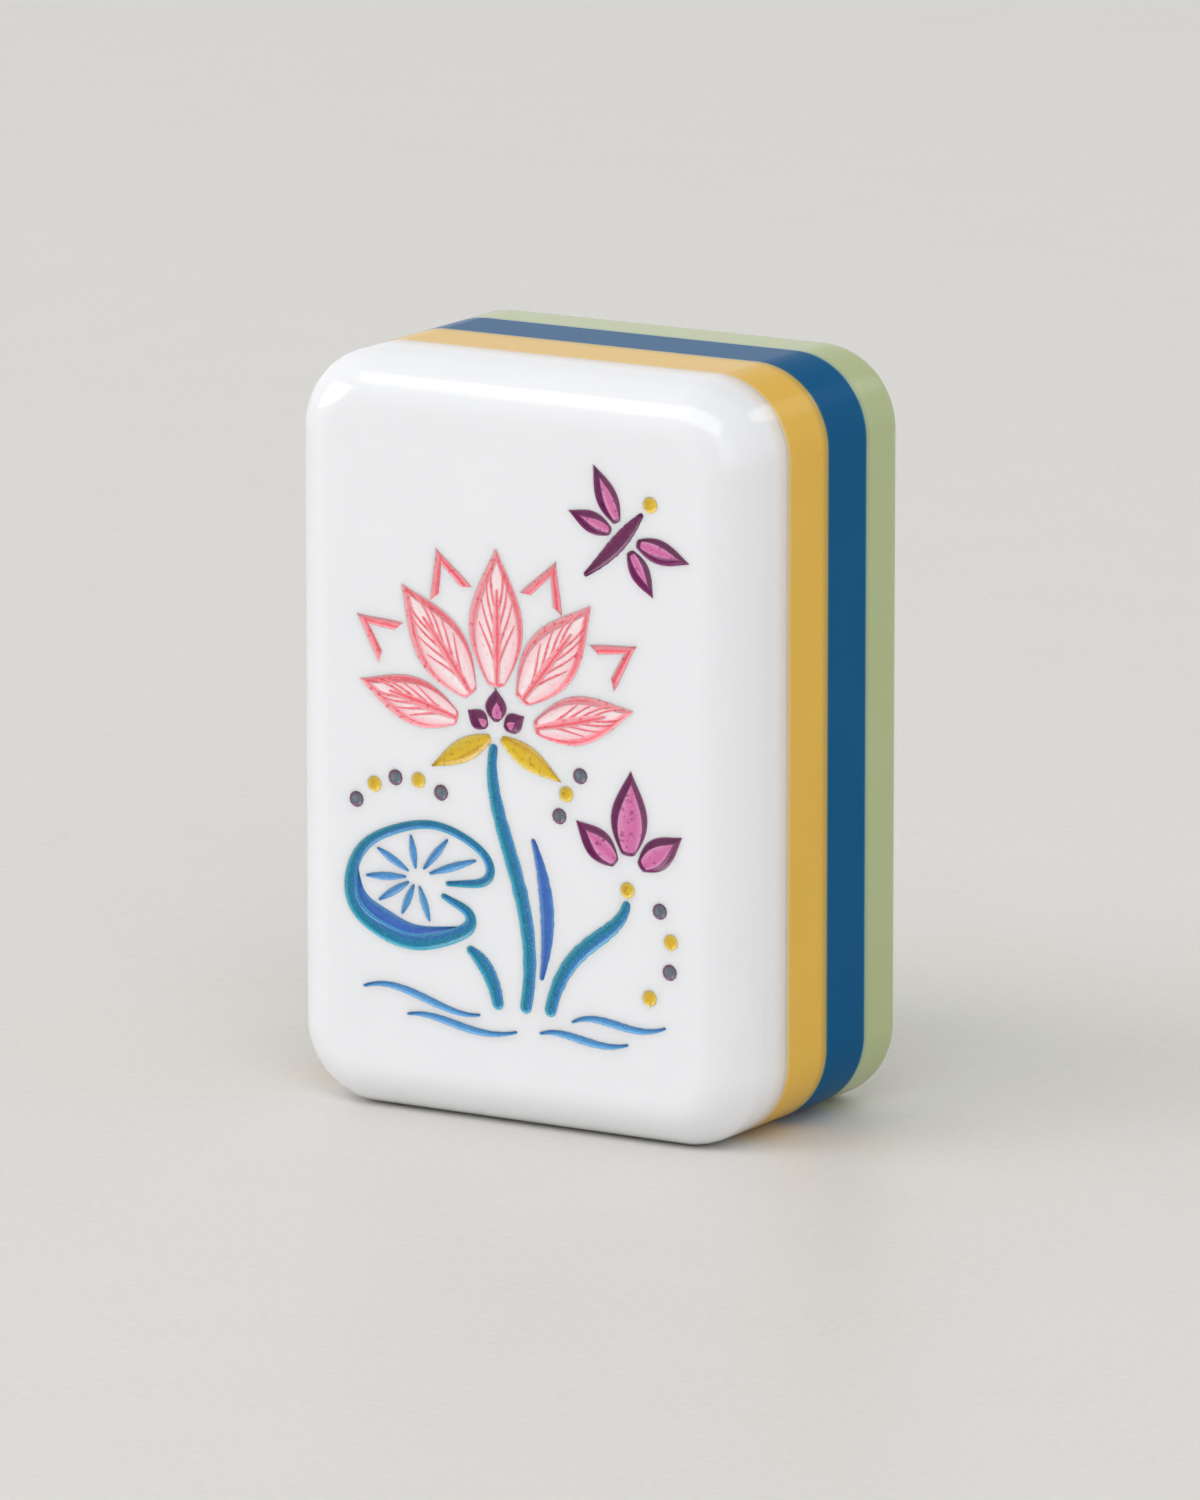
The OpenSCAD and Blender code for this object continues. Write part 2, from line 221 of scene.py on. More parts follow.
# Adhesive films
# Three films of clear acrylic cement hold the four layers together. Each is a hair thick, and shows
# at the edge as a line in the mixed colour of the layers on its two sides.
cement_ior = 1.48
cement_roughness = 0.12
cement_speck_size = 0.2 * mm
for film_name, film_node, film_colour, film_fleck in (
        ("back_cement", "back_bond", "#5d8a8c", "#54808a"),
        ("core_cement", "core_bond", "#7d7a55", "#6d7360"),
        ("face_cement", "face_bond", "#ecd9bb", "#e6cfa8")):
    film = acrylic_block(film_name, film_node)
    polish(film)
    cement = bpy.data.materials.new("clear_cement_" + film_node)
    cement.use_nodes = True
    cement_tree = cement.node_tree
    cement_shader = cement_tree.nodes["Principled BSDF"]
    cement_place = add_node(cement_tree, "ShaderNodeTexCoord").outputs["Object"]
    cement_specks = add_node(cement_tree, "ShaderNodeTexNoise", {
        "Vector": cement_place, "Scale": 1 / cement_speck_size})
    cement_mix = add_node(cement_tree, "ShaderNodeMix", {
        mix_share: cement_specks.outputs["Fac"], mix_a: linear(film_colour), mix_b: linear(film_fleck)},
        data_type="RGBA")
    cement_tree.links.new(cement_mix.outputs[mix_out], cement_shader.inputs["Base Color"])
    cement_shader.inputs["Roughness"].default_value = cement_roughness
    cement_shader.inputs["IOR"].default_value = cement_ior
    film.data.materials.append(cement)
    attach(film, "root")
    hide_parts(film_node)

# White face slab
# The face is a thick slab of white cast acrylic with a generous round edge. A fine router cuts the
# picture into it before the paint goes in, and the tumbling softens the lips of every cut.
face_rounding = 2.0 * mm
face_rounding_steps = 14
face_cell = 1.4 * mm
line_depth = 0.35 * mm
lip_radius = 0.07 * mm
lip_angles = [20, 45, 70, 90]
lip_lift = 0.005 * mm
polished = (0.06, 0.1)
face_low, face_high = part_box("face_slab")
face_y = face_low.y

# Places in the picture are shares of its height, from its middle and its foot
picture_border = 0.4 * mm
picture_width_share = 0.7
picture_height = (face_high.x - face_low.x - 2 * (face_rounding + picture_border)) / picture_width_share
picture_foot = (face_high.z - face_low.z - picture_height) / 2


def spot(shares):
    """A place on the face, as x and z."""
    return Vector((picture_height * shares[0], picture_foot + picture_height * shares[1]))


# A stroke is (points, half widths, bulges of its two ends): the path of the router, and its swing
curve_steps = 28
cap_steps = 6
hand_wobble = 0.07
wobble_paces = (1.9, 2.7)


def bend(guides):
    """Points along a curve with four guide points."""
    places = [spot(g) for g in guides]
    run = []
    for i in range(curve_steps + 1):
        t = i / curve_steps
        weights = [(1 - t) ** 3, 3 * t * (1 - t) ** 2, 3 * t * t * (1 - t), t ** 3]
        run.append(sum((p * w for p, w in zip(places, weights)), Vector((0, 0))))
    return run


def brush(points, width, ends):
    """A stroke that swells in the middle, a little unsteadily. Its ends keep shares of its full width."""
    last = len(points) - 1
    halves = []
    for i in range(last + 1):
        end = ends[0] if 2 * i < last else ends[1]
        wobble = 1 + hand_wobble * sum(math.sin(pace * i) for pace in wobble_paces) / 2
        halves.append(width / 2 * (end + (1 - end) * math.sin(math.pi * i / last)) * wobble)
    return points, halves, (1, 1)


ease_spacing = 0.12 * mm


def eased(points, halves, turns):
    """A run with its points spread evenly, and its corners eased so that the router can follow them."""
    rows = [Vector((*point, half)) for point, half in zip(points, halves)]
    for turn in range(turns):
        lengths = [0]
        for a, b in zip(rows, rows[1:]):
            lengths.append(lengths[-1] + (b.xy - a.xy).length)
        count = round(lengths[-1] / ease_spacing)
        even = []
        k = 0
        for i in range(count + 1):
            place = lengths[-1] * i / count
            while k < len(rows) - 2 and lengths[k + 1] < place:
                k += 1
            even.append(rows[k].lerp(rows[k + 1], (place - lengths[k]) / (lengths[k + 1] - lengths[k])))
        even[1:-1] = [(a + 2 * b + c) / 4 for a, b, c in zip(even, even[1:], even[2:])]
        rows = even
    return [row.xy for row in rows], [row.z for row in rows]


# The start of a petal is the share of its reach that stays open at its base
Petal = namedtuple("Petal", "base angle reach width start")
petal_lean = 0.92
petal_point = 1.15
petal_steps = 22
petal_stop = 0.985
petal_base_bulge = 0.3


def flower(middle, ring, angles, reaches, widths, start):
    """The petals that spread from a ring round a middle. Lengths are shares of the picture's height."""
    petals = []
    for angle, reach, width in zip(map(math.radians, angles), reaches, widths):
        base = spot(middle) + picture_height * ring * Vector((math.cos(angle), math.sin(angle)))
        petals.append(Petal(base, angle, picture_height * reach, picture_height * width, start))
    return petals


def petal_half(petal, t):
    """Half the width of a petal at a share of its reach."""
    return petal.width / 2 * math.sin(math.pi * t ** petal_lean) ** petal_point


def on_petal(petal, t, out):
    """A point of a petal, at a share of its reach and a share of its half width there."""
    way = Vector((math.cos(petal.angle), math.sin(petal.angle)))
    return petal.base + petal.reach * t * way + out * petal_half(petal, t) * Vector((-way.y, way.x))


def petal_stroke(petal):
    """A petal as one broad stroke along its middle."""
    shares = [(1 - math.cos(math.pi * i / petal_steps)) / 2 for i in range(petal_steps + 1)]
    shares = [petal.start + (petal_stop - petal.start) * s for s in shares]
    points = [on_petal(petal, t, 0) for t in shares]
    return points, [petal_half(petal, t) for t in shares], (petal_base_bulge, 1)


def inner_petal(petal, line):
    """The petal that is left inside an outline of a given width."""
    reach = petal.reach - 2 * line
    start = (petal.start * petal.reach + line / 2) / reach
    return Petal(petal.base, petal.angle, reach, petal.width - 2 * line, start)


def outline(stroke, share, grow):
    """The closed edge of a stroke at a share of its half width, as (place, rim, side) rows."""
    points, halves, bulges = stroke
    last = len(points) - 1
    rows = []
    for turn, order in ((1, range(last + 1)), (-1, range(last, -1, -1))):
        for i in order:
            way = (points[min(i + 1, last)] - points[max(i - 1, 0)]).normalized() if last else Vector((0, 1))
            normal = turn * Vector((-way.y, way.x))
            half = halves[i] * share + grow
            rows.append((points[i] + normal * half, share, turn * share))
        front = turn * way
        bulge = halves[i] * share * bulges[(1 + turn) // 2] + grow
        for k in range(1, cap_steps):
            angle = math.pi * k / cap_steps
            place = points[i] + normal * half * math.cos(angle) + front * bulge * math.sin(angle)
            rows.append((place, share, turn * share * math.cos(angle)))
    return rows


def level(stroke, share, grow, depth, edge=outline):
    """The edge of a stroke, laid at a depth under the face."""
    rows = edge(stroke, share, grow)
    return [((place.x, face_y + depth, place.y), rim, side) for place, rim, side in rows]


def stack(name, solids):
    """A mesh of closed solids. Each is a list of levels from the top down, and all have as many levels."""
    bpy.ops.object.select_all(action="DESELECT")
    for number, levels in enumerate(solids):
        bpy.ops.mesh.primitive_circle_add(vertices=len(levels[0]), fill_type="NGON", enter_editmode=True)
        piece = bpy.context.object
        shape = bmesh.from_edit_mesh(piece.data)
        if number == 0:
            shape.faces.layers.int.new("solid")
            shape.verts.layers.int.new("place")
            for attribute in ("rim", "side"):
                shape.verts.layers.float.new(attribute)
        for face in shape.faces:
            if face.select:
                face[shape.faces.layers.int["solid"]] = number
                for k, vert in enumerate(face.verts):
                    vert[shape.verts.layers.int["place"]] = k
        bmesh.update_edit_mesh(piece.data)
    bpy.ops.mesh.select_mode(type="FACE")
    bpy.ops.mesh.select_all(action="SELECT")
    for step in range(len(solids[0])):
        if step:
            bpy.ops.mesh.extrude_region_move()
        shape = bmesh.from_edit_mesh(piece.data)
        solid, place = shape.faces.layers.int["solid"], shape.verts.layers.int["place"]
        values = [shape.verts.layers.float[a] for a in ("rim", "side")]
        for face in shape.faces:
            if face.select:
                for vert in face.verts:
                    row = solids[face[solid]][step][vert[place]]
                    vert.co = row[0]
                    for layer, value in zip(values, row[1:]):
                        vert[layer] = value
        bmesh.update_edit_mesh(piece.data)
    bpy.ops.object.mode_set(mode="OBJECT")
    piece.name = name
    return piece


# The lily: five petals in front, the tips of four behind, a small heart and two sepals
lily_middle = (-0.03, 0.53)
lily_ring = 0.062
petal_line = 0.28 * mm
lily_petals = flower(
    lily_middle, lily_ring, (14, 52, 90, 128, 166), (0.225, 0.25, 0.265, 0.25, 0.225),
    (0.084, 0.104, 0.108, 0.104, 0.084), 0.1)
lily_tips = flower(lily_middle, lily_ring, (33, 69, 111, 147), [0.275] * 4, [0.12] * 4, 0.7)
sepals = flower(lily_middle, 0, (208, 332), [0.15] * 2, [0.04] * 2, 0.1)

# The heart, the bud and the dragonfly's wings share one make: a plum outline and a rose fill
bud_line = 0.26 * mm
body_width = 0.62 * mm
tapered = (0.3, 0.3)
small_petals = (
    flower(lily_middle, 0.018, (33, 90, 147), (0.05, 0.062, 0.05), (0.036, 0.042, 0.036), 0.1)
    + flower((0.235, 0.31), 0.02, (36, 88, 140), (0.115, 0.165, 0.115), (0.054, 0.072, 0.054), 0.12)
    + flower((0.226, 0.9), 0.016, (-59, -14, 116, 161), (0.1, 0.12, 0.12, 0.1),
             (0.038, 0.042, 0.042, 0.038), 0.12))
body_stroke = brush(
    bend([(0.262, 0.942), (0.235, 0.912), (0.205, 0.872), (0.152, 0.83)]), body_width, tapered)

# Stems, and the blue blade beside the tall one
stem_line = 0.62 * mm
stem_ends = (0.55, 0.8)
stem_strokes = [brush(bend(guides), stem_line, stem_ends) for guides in (
    [(-0.035, 0.505), (-0.06, 0.38), (0.07, 0.25), (0.03, 0.055)],
    [(0.233, 0.258), (0.215, 0.19), (0.11, 0.19), (0.08, 0.055)],
    [(-0.082, 0.143), (-0.06, 0.13), (-0.036, 0.105), (-0.027, 0.055)])]
blade_stroke = brush(
    bend([(0.045, 0.35), (0.075, 0.27), (0.082, 0.20), (0.062, 0.11)]), stem_line, tapered)

# Water lines
fine_line = 0.3 * mm
water_strokes = [brush(bend(guides), fine_line, tapered) for guides in (
    [(-0.30, 0.055), (-0.22, 0.085), (-0.14, 0.015), (-0.065, 0.03)],
    [(-0.21, 0.015), (-0.14, 0.03), (-0.08, -0.02), (0.01, 0.008)],
    [(0.125, 0.04), (0.18, 0.07), (0.24, 0.02), (0.31, 0.05)],
    [(0.06, 0.012), (0.11, 0.03), (0.17, -0.01), (0.235, 0.012)])]

# The leaf: a waved oval with a notch, a shade along its lower edge, and ribs from its hub
leaf_middle = spot((-0.182, 0.25))
leaf_half = (0.152 * picture_height, 0.104 * picture_height)
leaf_tilt = math.radians(10)
leaf_wave = 0.02
leaf_waves = 6
leaf_notch_angle = -24
leaf_notch_half_angle = 18
leaf_notch_share = 0.36
leaf_thin_share = 0.5
leaf_thick_angle = 240
leaf_end_share = 0.45
leaf_steps = 36
leaf_fineness = 4
leaf_ease_turns = 30
leaf_hub = leaf_middle + picture_height * Vector((-0.01, 0.01))


def leaf_edge(step, out):
    """A point on the leaf's edge at a step of its run, and the width of the line there."""
    angle = leaf_notch_angle + leaf_notch_half_angle + (360 - 2 * leaf_notch_half_angle) * step / leaf_steps
    wave = out * (1 + leaf_wave * math.sin(math.radians(leaf_waves * angle)))
    across = wave * leaf_half[0] * math.cos(math.radians(angle))
    up = wave * leaf_half[1] * math.sin(math.radians(angle))
    place = leaf_middle + Vector((
        across * math.cos(leaf_tilt) - up * math.sin(leaf_tilt),
        across * math.sin(leaf_tilt) + up * math.cos(leaf_tilt)))
    swing = (1 + math.cos(math.radians(angle - leaf_thick_angle))) / 2
    return place, stem_line * (leaf_thin_share + (1 - leaf_thin_share) * swing)


leaf_run = [leaf_edge(0, leaf_notch_share + (1 - leaf_notch_share) * i / leaf_fineness)
            for i in range(leaf_fineness)]
leaf_run += [leaf_edge(i / leaf_fineness, 1) for i in range(leaf_steps * leaf_fineness + 1)]
leaf_run += [leaf_edge(leaf_steps, 1 - (1 - leaf_notch_share) * i / leaf_fineness)
             for i in range(1, leaf_fineness + 1)]
leaf_points = [place for place, width in leaf_run]
leaf_halves = [width / 2 for place, width in leaf_run]
for i in range(leaf_fineness):
    taper = leaf_end_share + (1 - leaf_end_share) * i / leaf_fineness
    leaf_halves[i] *= taper
    leaf_halves[-1 - i] *= taper
leaf_stroke = (*eased(leaf_points, leaf_halves, leaf_ease_turns), (1, 1))

shade_steps = (18, 34)
shade_share = 0.24
shade_overlap = 0.02 * mm


def shade_border(step):
    """The inner side of the leaf's line at a step, and the inner side of the shade along it."""
    place, width = leaf_edge(step, 1)
    inward = (leaf_middle - place).normalized()
    inside = place + inward * width / 2
    run = (step - shade_steps[0]) / (shade_steps[1] - shade_steps[0])
    deep = math.sin(math.pi * run) if 0 < run < 1 else 0
    return inside, inside + shade_share * deep * (leaf_middle - inside)


shade_points = []
shade_halves = []
for i in range((shade_steps[1] - shade_steps[0]) * 2 + 1):
    inside, border = shade_border(shade_steps[0] + i / 2)
    shade_points.append((inside + border) / 2)
    shade_halves.append((inside - border).length / 2 + shade_overlap)
shade_stroke = (shade_points, shade_halves, (1, 1))

leaf_rib_places = range(3, 32, 4)
leaf_rib_start = 0.2
leaf_rib_run = 0.66
leaf_rib_steps = 12
rib_strokes = []
for step in leaf_rib_places:
    way = shade_border(step)[1] - leaf_hub
    run = [leaf_rib_start + leaf_rib_run * i / leaf_rib_steps for i in range(leaf_rib_steps + 1)]
    rib_strokes.append(brush([leaf_hub + way * t for t in run], fine_line, tapered))

# Beads: slate ones and gold ones by the leaf and the stems, and the dragonfly's gold head
bead_radius = 0.31 * mm


def bead(shares):
    """A round dot, as a stroke of one point."""
    return [spot(shares)], [bead_radius], (1, 1)


slate_beads = [bead(s) for s in (
    (-0.315, 0.385), (-0.235, 0.432), (-0.142, 0.415), (0.098, 0.4),
    (0.14, 0.475), (0.30, 0.255), (0.32, 0.15))]
gold_beads = [bead(s) for s in (
    (0.28, 0.962), (-0.278, 0.416), (-0.188, 0.432), (0.112, 0.44),
    (0.322, 0.203), (0.28, 0.1), (0.235, 0.285))]

# A tip behind the lily is a bent line, with its two arms along the sides of its petal
tip_steps = 14


def tip_loop(petal, share, grow):
    """The edge of the line round a petal's tip, at a share of its half width, as rows like an outline's."""
    half = petal_line / 2 * share + grow
    middle = inner_petal(petal, petal_line / 2)
    rows = []
    for side in (1, -1):
        edge = inner_petal(middle, -side * half)
        run = [edge.start + (1 - edge.start) * math.sin(math.pi / 2 * i / tip_steps)
               for i in range(tip_steps + 1)]
        arms = [on_petal(edge, t, side) for t in run] + [on_petal(edge, t, -side) for t in reversed(run[:-1])]
        rows += [(place, share, side * share) for place in arms]
    return rows


# Every cut goes from its soft lip straight down to the floor of the line
cut_strokes = (
    stem_strokes + water_strokes + rib_strokes + slate_beads + gold_beads
    + [petal_stroke(p) for p in lily_petals + small_petals + sepals]
    + [body_stroke, blade_stroke, leaf_stroke])
lip_levels = []
for angle in map(math.radians, lip_angles):
    lip_levels.append((lip_radius * (1 - math.sin(angle)), lip_radius * (1 - math.cos(angle))))
first_grow, first_depth = lip_levels[0]
lip_run = (first_depth + lip_lift) / math.tan(math.radians(lip_angles[0]))
lip_levels.insert(0, (first_grow + lip_run, -lip_lift))
lip_levels.append((0, line_depth))

white_face = acrylic_block("white_face", "face_slab")
round_edges(white_face, lambda a, b: max(a.y, b.y) < face_y + touch, face_rounding, face_rounding_steps)
bpy.ops.object.mode_set(mode="EDIT")
bpy.ops.mesh.select_mode(type="FACE")
for axis, low, high in ((0, face_low.x, face_high.x), (2, face_low.z, face_high.z)):
    cells = round((high - low - 2 * face_rounding) / face_cell)
    for cut in range(1, cells):
        bpy.ops.mesh.select_all(action="DESELECT")
        shape = bmesh.from_edit_mesh(white_face.data)
        for face in shape.faces:
            face.select_set(max(v.co.y for v in face.verts) < face_y + touch)
        bmesh.update_edit_mesh(white_face.data)
        plane = Vector((0, 0, 0))
        plane[axis] = 1
        place = low + face_rounding + (high - low - 2 * face_rounding) * cut / cells
        bpy.ops.mesh.bisect(plane_co=plane * place, plane_no=plane)
bpy.ops.object.mode_set(mode="OBJECT")
for strokes, edge in ((cut_strokes, outline), (lily_tips, tip_loop), ([shade_stroke], outline)):
    cuts = [[level(s, 1, grow, depth, edge) for grow, depth in lip_levels] for s in strokes]
    router = stack("router", cuts)
    engraving = white_face.modifiers.new("engraving", "BOOLEAN")
    engraving.operation = "DIFFERENCE"
    engraving.solver = "MANIFOLD"
    engraving.object = router
    bpy.context.view_layer.objects.active = white_face
    bpy.ops.object.modifier_apply(modifier=engraving.name)
    bpy.data.objects.remove(router)
polish(white_face)
corner_normals = [corner.vector.copy() for corner in white_face.data.corner_normals]
for loop in white_face.data.loops:
    if white_face.data.vertices[loop.vertex_index].co.y < face_y + touch:
        corner_normals[loop.index] = Vector((0, -1, 0))
white_face.data.normals_split_custom_set(corner_normals)
white_face.data.materials.clear()
# Painted warm shade: the white turns darker and warmer towards its joint with the amber
white_face.data.materials.append(cast_acrylic(
    "white_cast_acrylic", body="#edeef1", cloud="#ebecef", shine=0.5, roughness=polished,
    scatter_share=0.7, scatter_reach=(0.6 * mm, 0.58 * mm, 0.55 * mm),
    painted_joint_light=[(face_high.y, -1.2 * mm, "#e0c9ae", 0.58)]))
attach(white_face, "root")
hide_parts("face_slab")

# Enamel in the cuts
# Each colour is wiped into its cuts by hand and dries a little below the face. It climbs the walls
# and sinks in the middle, so every line has a soft trough.
paint_sink = 0.085 * mm
paint_brim = 0.02 * mm
paint_dip = 0.03 * mm
paint_climb = paint_sink - paint_brim
paint_seal = 0.004 * mm
paint_floor = 0.02 * mm

# A level of paint is (share of a line's half width, growth, depth), from the middle out and then down
line_levels = [
    (0.08, 0, paint_sink + paint_dip), (0.4, 0, paint_sink + 0.75 * paint_dip), (0.68, 0, paint_sink),
    (0.84, 0, paint_sink - 0.3 * paint_climb), (0.94, 0, paint_sink - 0.65 * paint_climb),
    (1, paint_seal, paint_brim), (1, 0, line_depth - paint_floor)]

# Enamel: a thin oil gloss over pigment. A line thins to its rim, which has its own colour, mostly a
# lighter one, and one side may lean to another. Grains are drawn as coarse as they need to show.
enamel_ior = 1.5
enamel_roughness = (0.06, 0.14)
grain_size = 0.08 * mm
grain_height = 0.009 * mm
mottle_size = 0.5 * mm
rim_range = (0.5, 1.0)
rim_share = 0.9
speck_range = (0.58, 0.68)
pale_range = (0.42, 0.28)
pale_share = 0.4
enamel_coat = 0.6
enamel_shine = 0.15


def enamel(name, core, rim, lean, lean_range, speck, speck_share, speck_size):
    """A paint's material: core and rim colours, a colour that one side leans to, and darker specks."""
    made = bpy.data.materials.new(name)
    made.use_nodes = True
    tree = made.node_tree
    shader = tree.nodes["Principled BSDF"]
    place = add_node(tree, "ShaderNodeTexCoord").outputs["Object"]
    side = add_node(tree, "ShaderNodeAttribute", attribute_name="side").outputs["Fac"]
    edge = add_node(tree, "ShaderNodeAttribute", attribute_name="rim").outputs["Fac"]
    mottle = add_node(tree, "ShaderNodeTexNoise", {"Vector": place, "Scale": 1 / mottle_size, "Detail": 3})
    wander = add_node(tree, "ShaderNodeMath", {0: mottle.outputs["Fac"], 1: side}, operation="ADD")
    leaning = add_node(tree, "ShaderNodeMapRange", {
        "Value": wander.outputs["Value"], "From Min": lean_range[0], "From Max": lean_range[1]},
        interpolation_type="SMOOTHSTEP")
    body = add_node(tree, "ShaderNodeMix", {
        mix_share: leaning.outputs["Result"], mix_a: linear(core), mix_b: linear(lean)}, data_type="RGBA")
    thin = add_node(tree, "ShaderNodeMapRange", {
        "Value": edge, "From Min": rim_range[0], "From Max": rim_range[1], "To Max": rim_share})
    body = add_node(tree, "ShaderNodeMix", {
        mix_share: thin.outputs["Result"], mix_a: body.outputs[mix_out], mix_b: linear(rim)},
        data_type="RGBA")
    grains = add_node(tree, "ShaderNodeTexNoise", {"Vector": place, "Scale": 1 / grain_size, "Detail": 2})
    clots = add_node(tree, "ShaderNodeTexNoise", {"Vector": place, "Scale": 1 / speck_size, "Detail": 2})
    specks = add_node(tree, "ShaderNodeMapRange", {
        "Value": clots.outputs["Fac"], "From Min": speck_range[0], "From Max": speck_range[1],
        "To Max": speck_share})
    body = add_node(tree, "ShaderNodeMix", {
        mix_share: specks.outputs["Result"], mix_a: body.outputs[mix_out], mix_b: linear(speck)},
        data_type="RGBA")
    pale = add_node(tree, "ShaderNodeMapRange", {
        "Value": grains.outputs["Fac"], "From Min": pale_range[0], "From Max": pale_range[1],
        "To Max": pale_share})
    body = add_node(tree, "ShaderNodeMix", {
        mix_share: pale.outputs["Result"], mix_a: body.outputs[mix_out], mix_b: linear(rim)},
        data_type="RGBA")
    gloss = add_node(tree, "ShaderNodeMapRange", {
        "Value": mottle.outputs["Fac"], "To Min": enamel_roughness[0], "To Max": enamel_roughness[1]})
    relief = add_node(tree, "ShaderNodeBump", {"Height": grains.outputs["Fac"], "Distance": grain_height})
    tree.links.new(body.outputs[mix_out], shader.inputs["Base Color"])
    tree.links.new(gloss.outputs["Result"], shader.inputs["Roughness"])
    tree.links.new(relief.outputs["Normal"], shader.inputs["Normal"])
    shader.inputs["IOR"].default_value = enamel_ior
    shader.inputs["Specular IOR Level"].default_value = enamel_shine
    shader.inputs["Coat Weight"].default_value = enamel_coat
    return made


def paint(name, strokes, levels, edge=outline):
    """Paint in the cuts of some strokes."""
    piece = stack(name, [[level(s, *step, edge) for step in levels] for s in strokes])
    polish(piece)
    return piece


# Teal on the stems and the leaf's outline
stem_enamel = paint("stem_enamel", stem_strokes + [leaf_stroke], line_levels)
stem_enamel.data.materials.append(enamel(
    "teal_enamel", core="#12789b", rim="#58bcd3", lean="#2f68c0", lean_range=(0.2, 1.5),
    speck="#0e5676", speck_share=0.6, speck_size=0.12 * mm))
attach(stem_enamel, "root")
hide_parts("stem_paint")

# Cobalt shade on the leaf and beside the tall stem
shade_sink = 0.03 * mm
shade_levels = [(share, grow, depth + (shade_sink if depth < line_depth / 2 else 0))
                for share, grow, depth in line_levels]
leaf_shade_enamel = paint("leaf_shade_enamel", [shade_stroke, blade_stroke], shade_levels)
leaf_shade_enamel.data.materials.append(enamel(
    "cobalt_enamel", core="#3767b8", rim="#6c9fdc", lean="#2c83b8", lean_range=(0.6, 1.6),
    speck="#2850a0", speck_share=0.6, speck_size=0.12 * mm))
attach(leaf_shade_enamel, "root")
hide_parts("leaf_shade_paint")

# Sky blue ribs and water
rib_enamel = paint("rib_enamel", rib_strokes + water_strokes, line_levels)
rib_enamel.data.materials.append(enamel(
    "sky_enamel", core="#4f97cf", rim="#8fc0e6", lean="#3c78c0", lean_range=(0.5, 1.5),
    speck="#3a7fb9", speck_share=0.4, speck_size=0.12 * mm))
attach(rib_enamel, "root")
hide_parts("rib_paint")

# Coral outlines, ribs and veins of the lily's petals. An outline is a trough, lightest at its edges
trough_rim = 0.3


def tray(petal, line):
    """The outline of a petal as a trough round it, on a thin floor."""
    outer, inner = petal_stroke(petal), petal_stroke(inner_petal(petal, line))
    outside = level(outer, 1, paint_seal, paint_brim)
    inside = level(inner, 1, 0, paint_sink)
    middle = []
    for a, b in zip(outside, inside):
        place = (Vector(a[0]) + Vector(b[0])) / 2
        place.y = face_y + paint_sink + paint_dip / 2
        middle.append((place, trough_rim, 0))
    return [level(inner, 1, 0, line_depth - 2 * paint_floor), inside, middle, outside,
            level(outer, 1, 0, line_depth - paint_floor)]


def join(name, pieces):
    """Several meshes as one piece."""
    bpy.ops.object.select_all(action="DESELECT")
    for piece in pieces:
        piece.select_set(True)
    bpy.context.view_layer.objects.active = pieces[0]
    bpy.ops.object.join()
    pieces[0].name = name
    return pieces[0]


# Veins spread from each petal's rib, which stands a little higher
vein_line = 0.11 * mm
vein_depth = 0.2 * mm
vein_top = 0.062 * mm
vein_runs = ((0.14, 0.5), (0.26, 0.64), (0.39, 0.78), (0.52, 0.9))
vein_spread = 0.66
vein_bend = 1.3
vein_steps = 12
vein_ends = (0.6, 0.4)
vein_edge_drop = 0.015 * mm
vein_levels = [
    (0.1, 0, vein_top), (0.6, 0, vein_top), (1, 0, vein_top + vein_edge_drop), (1, 0, vein_depth)]
rib_share = 0.72
rib_width = 0.36 * mm
rib_lift = 0.014 * mm
rib_steps = 14
rib_ends = (0.5, 0.25)
rib_levels = [(share, grow, depth - rib_lift) for share, grow, depth in vein_levels]
petal_ribs = []
petal_veins = []
for petal in lily_petals:
    run = [petal.start + (rib_share - petal.start) * i / rib_steps for i in range(rib_steps + 1)]
    petal_ribs.append(brush([on_petal(petal, t, 0) for t in run], rib_width, rib_ends))
    for first, last in vein_runs:
        for side in (-1, 1):
            run = [first + (last - first) * i / vein_steps for i in range(vein_steps + 1)]
            outs = [side * vein_spread * ((t - first) / (last - first)) ** vein_bend for t in run]
            points = [on_petal(petal, t, out) for t, out in zip(run, outs)]
            petal_veins.append(brush(points, vein_line, vein_ends))
petal_line_enamel = join("petal_line_enamel", [
    paint("tip_lines", lily_tips, line_levels, tip_loop),
    stack("petal_trays", [tray(p, petal_line) for p in lily_petals]),
    paint("petal_ribs", petal_ribs, rib_levels),
    paint("petal_veins", petal_veins, vein_levels)])
polish(petal_line_enamel)
petal_line_enamel.data.materials.append(enamel(
    "coral_enamel", core="#ee6674", rim="#f6b6bd", lean="#f39aa3", lean_range=(0.35, 0.75),
    speck="#e2475c", speck_share=0.7, speck_size=0.2 * mm))
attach(petal_line_enamel, "root")
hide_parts("petal_line_paint")

# Blush wash between the outlines and the ribs
wash_dip = 0.015 * mm
wash_slope = 0.01 * mm
wash_brim = 0.002 * mm
wash_levels = [
    (0.05, 0, paint_sink + wash_dip), (0.4, 0, paint_sink + wash_dip), (0.75, 0, paint_sink + wash_slope),
    (1, paint_seal, paint_sink + wash_brim), (1, 0, line_depth - 3 * paint_floor)]
petal_wash_enamel = paint(
    "petal_wash_enamel", [petal_stroke(inner_petal(p, petal_line)) for p in lily_petals], wash_levels)
petal_wash_enamel.data.materials.append(enamel(
    "blush_enamel", core="#f7dfe2", rim="#f5c3ca", lean="#f9ebec", lean_range=(0.3, 1.3),
    speck="#f0b6be", speck_share=0.6, speck_size=0.2 * mm))
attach(petal_wash_enamel, "root")
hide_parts("petal_wash_paint")

